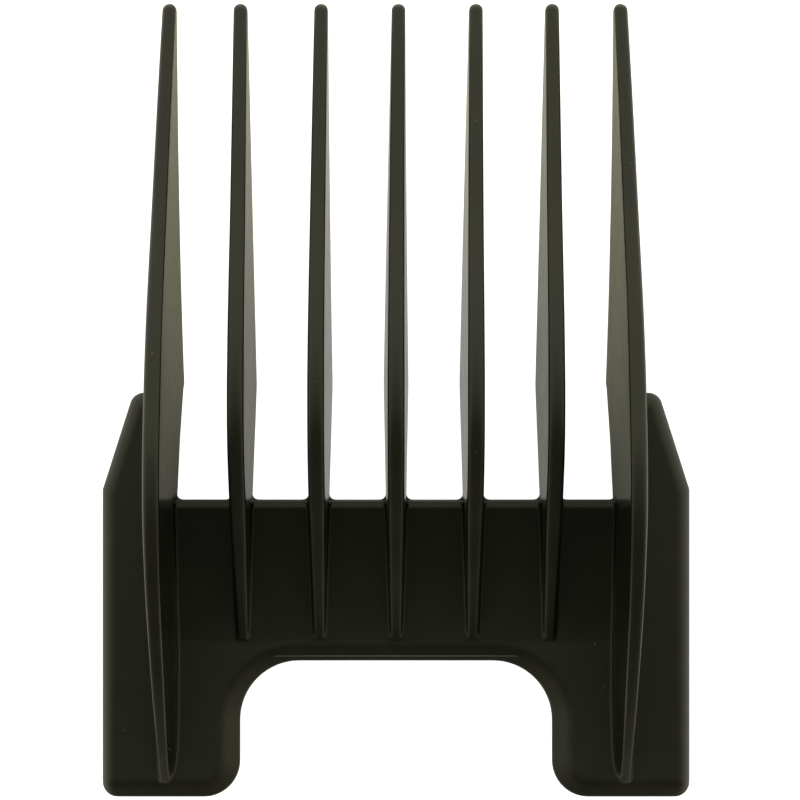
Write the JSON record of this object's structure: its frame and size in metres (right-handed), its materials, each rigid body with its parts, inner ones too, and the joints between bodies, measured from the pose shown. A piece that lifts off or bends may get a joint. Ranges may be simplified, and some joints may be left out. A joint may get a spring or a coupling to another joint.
{
  "type": "clipper guide comb",
  "caption": "Slide-on guide comb for a hair clipper: long tapered teeth on a web, two legs beside a notch, and rails that grip the blade's sides.",
  "frame": {"origin": "centre of the bounding box in plan, on the underside of the blade rails, which the comb rests on", "axes": "+Y along the teeth towards their tips, +Z out of the skin side, +X across the teeth"},
  "size_m": [0.0504, 0.0674, 0.0216],
  "materials": {
    "black_plastic": "satin, finely textured by the mould, black with a slight olive warmth"
  },
  "bodies": {
    "root": {"comb_attachment": "black_plastic"}
  },
  "joints": []
}
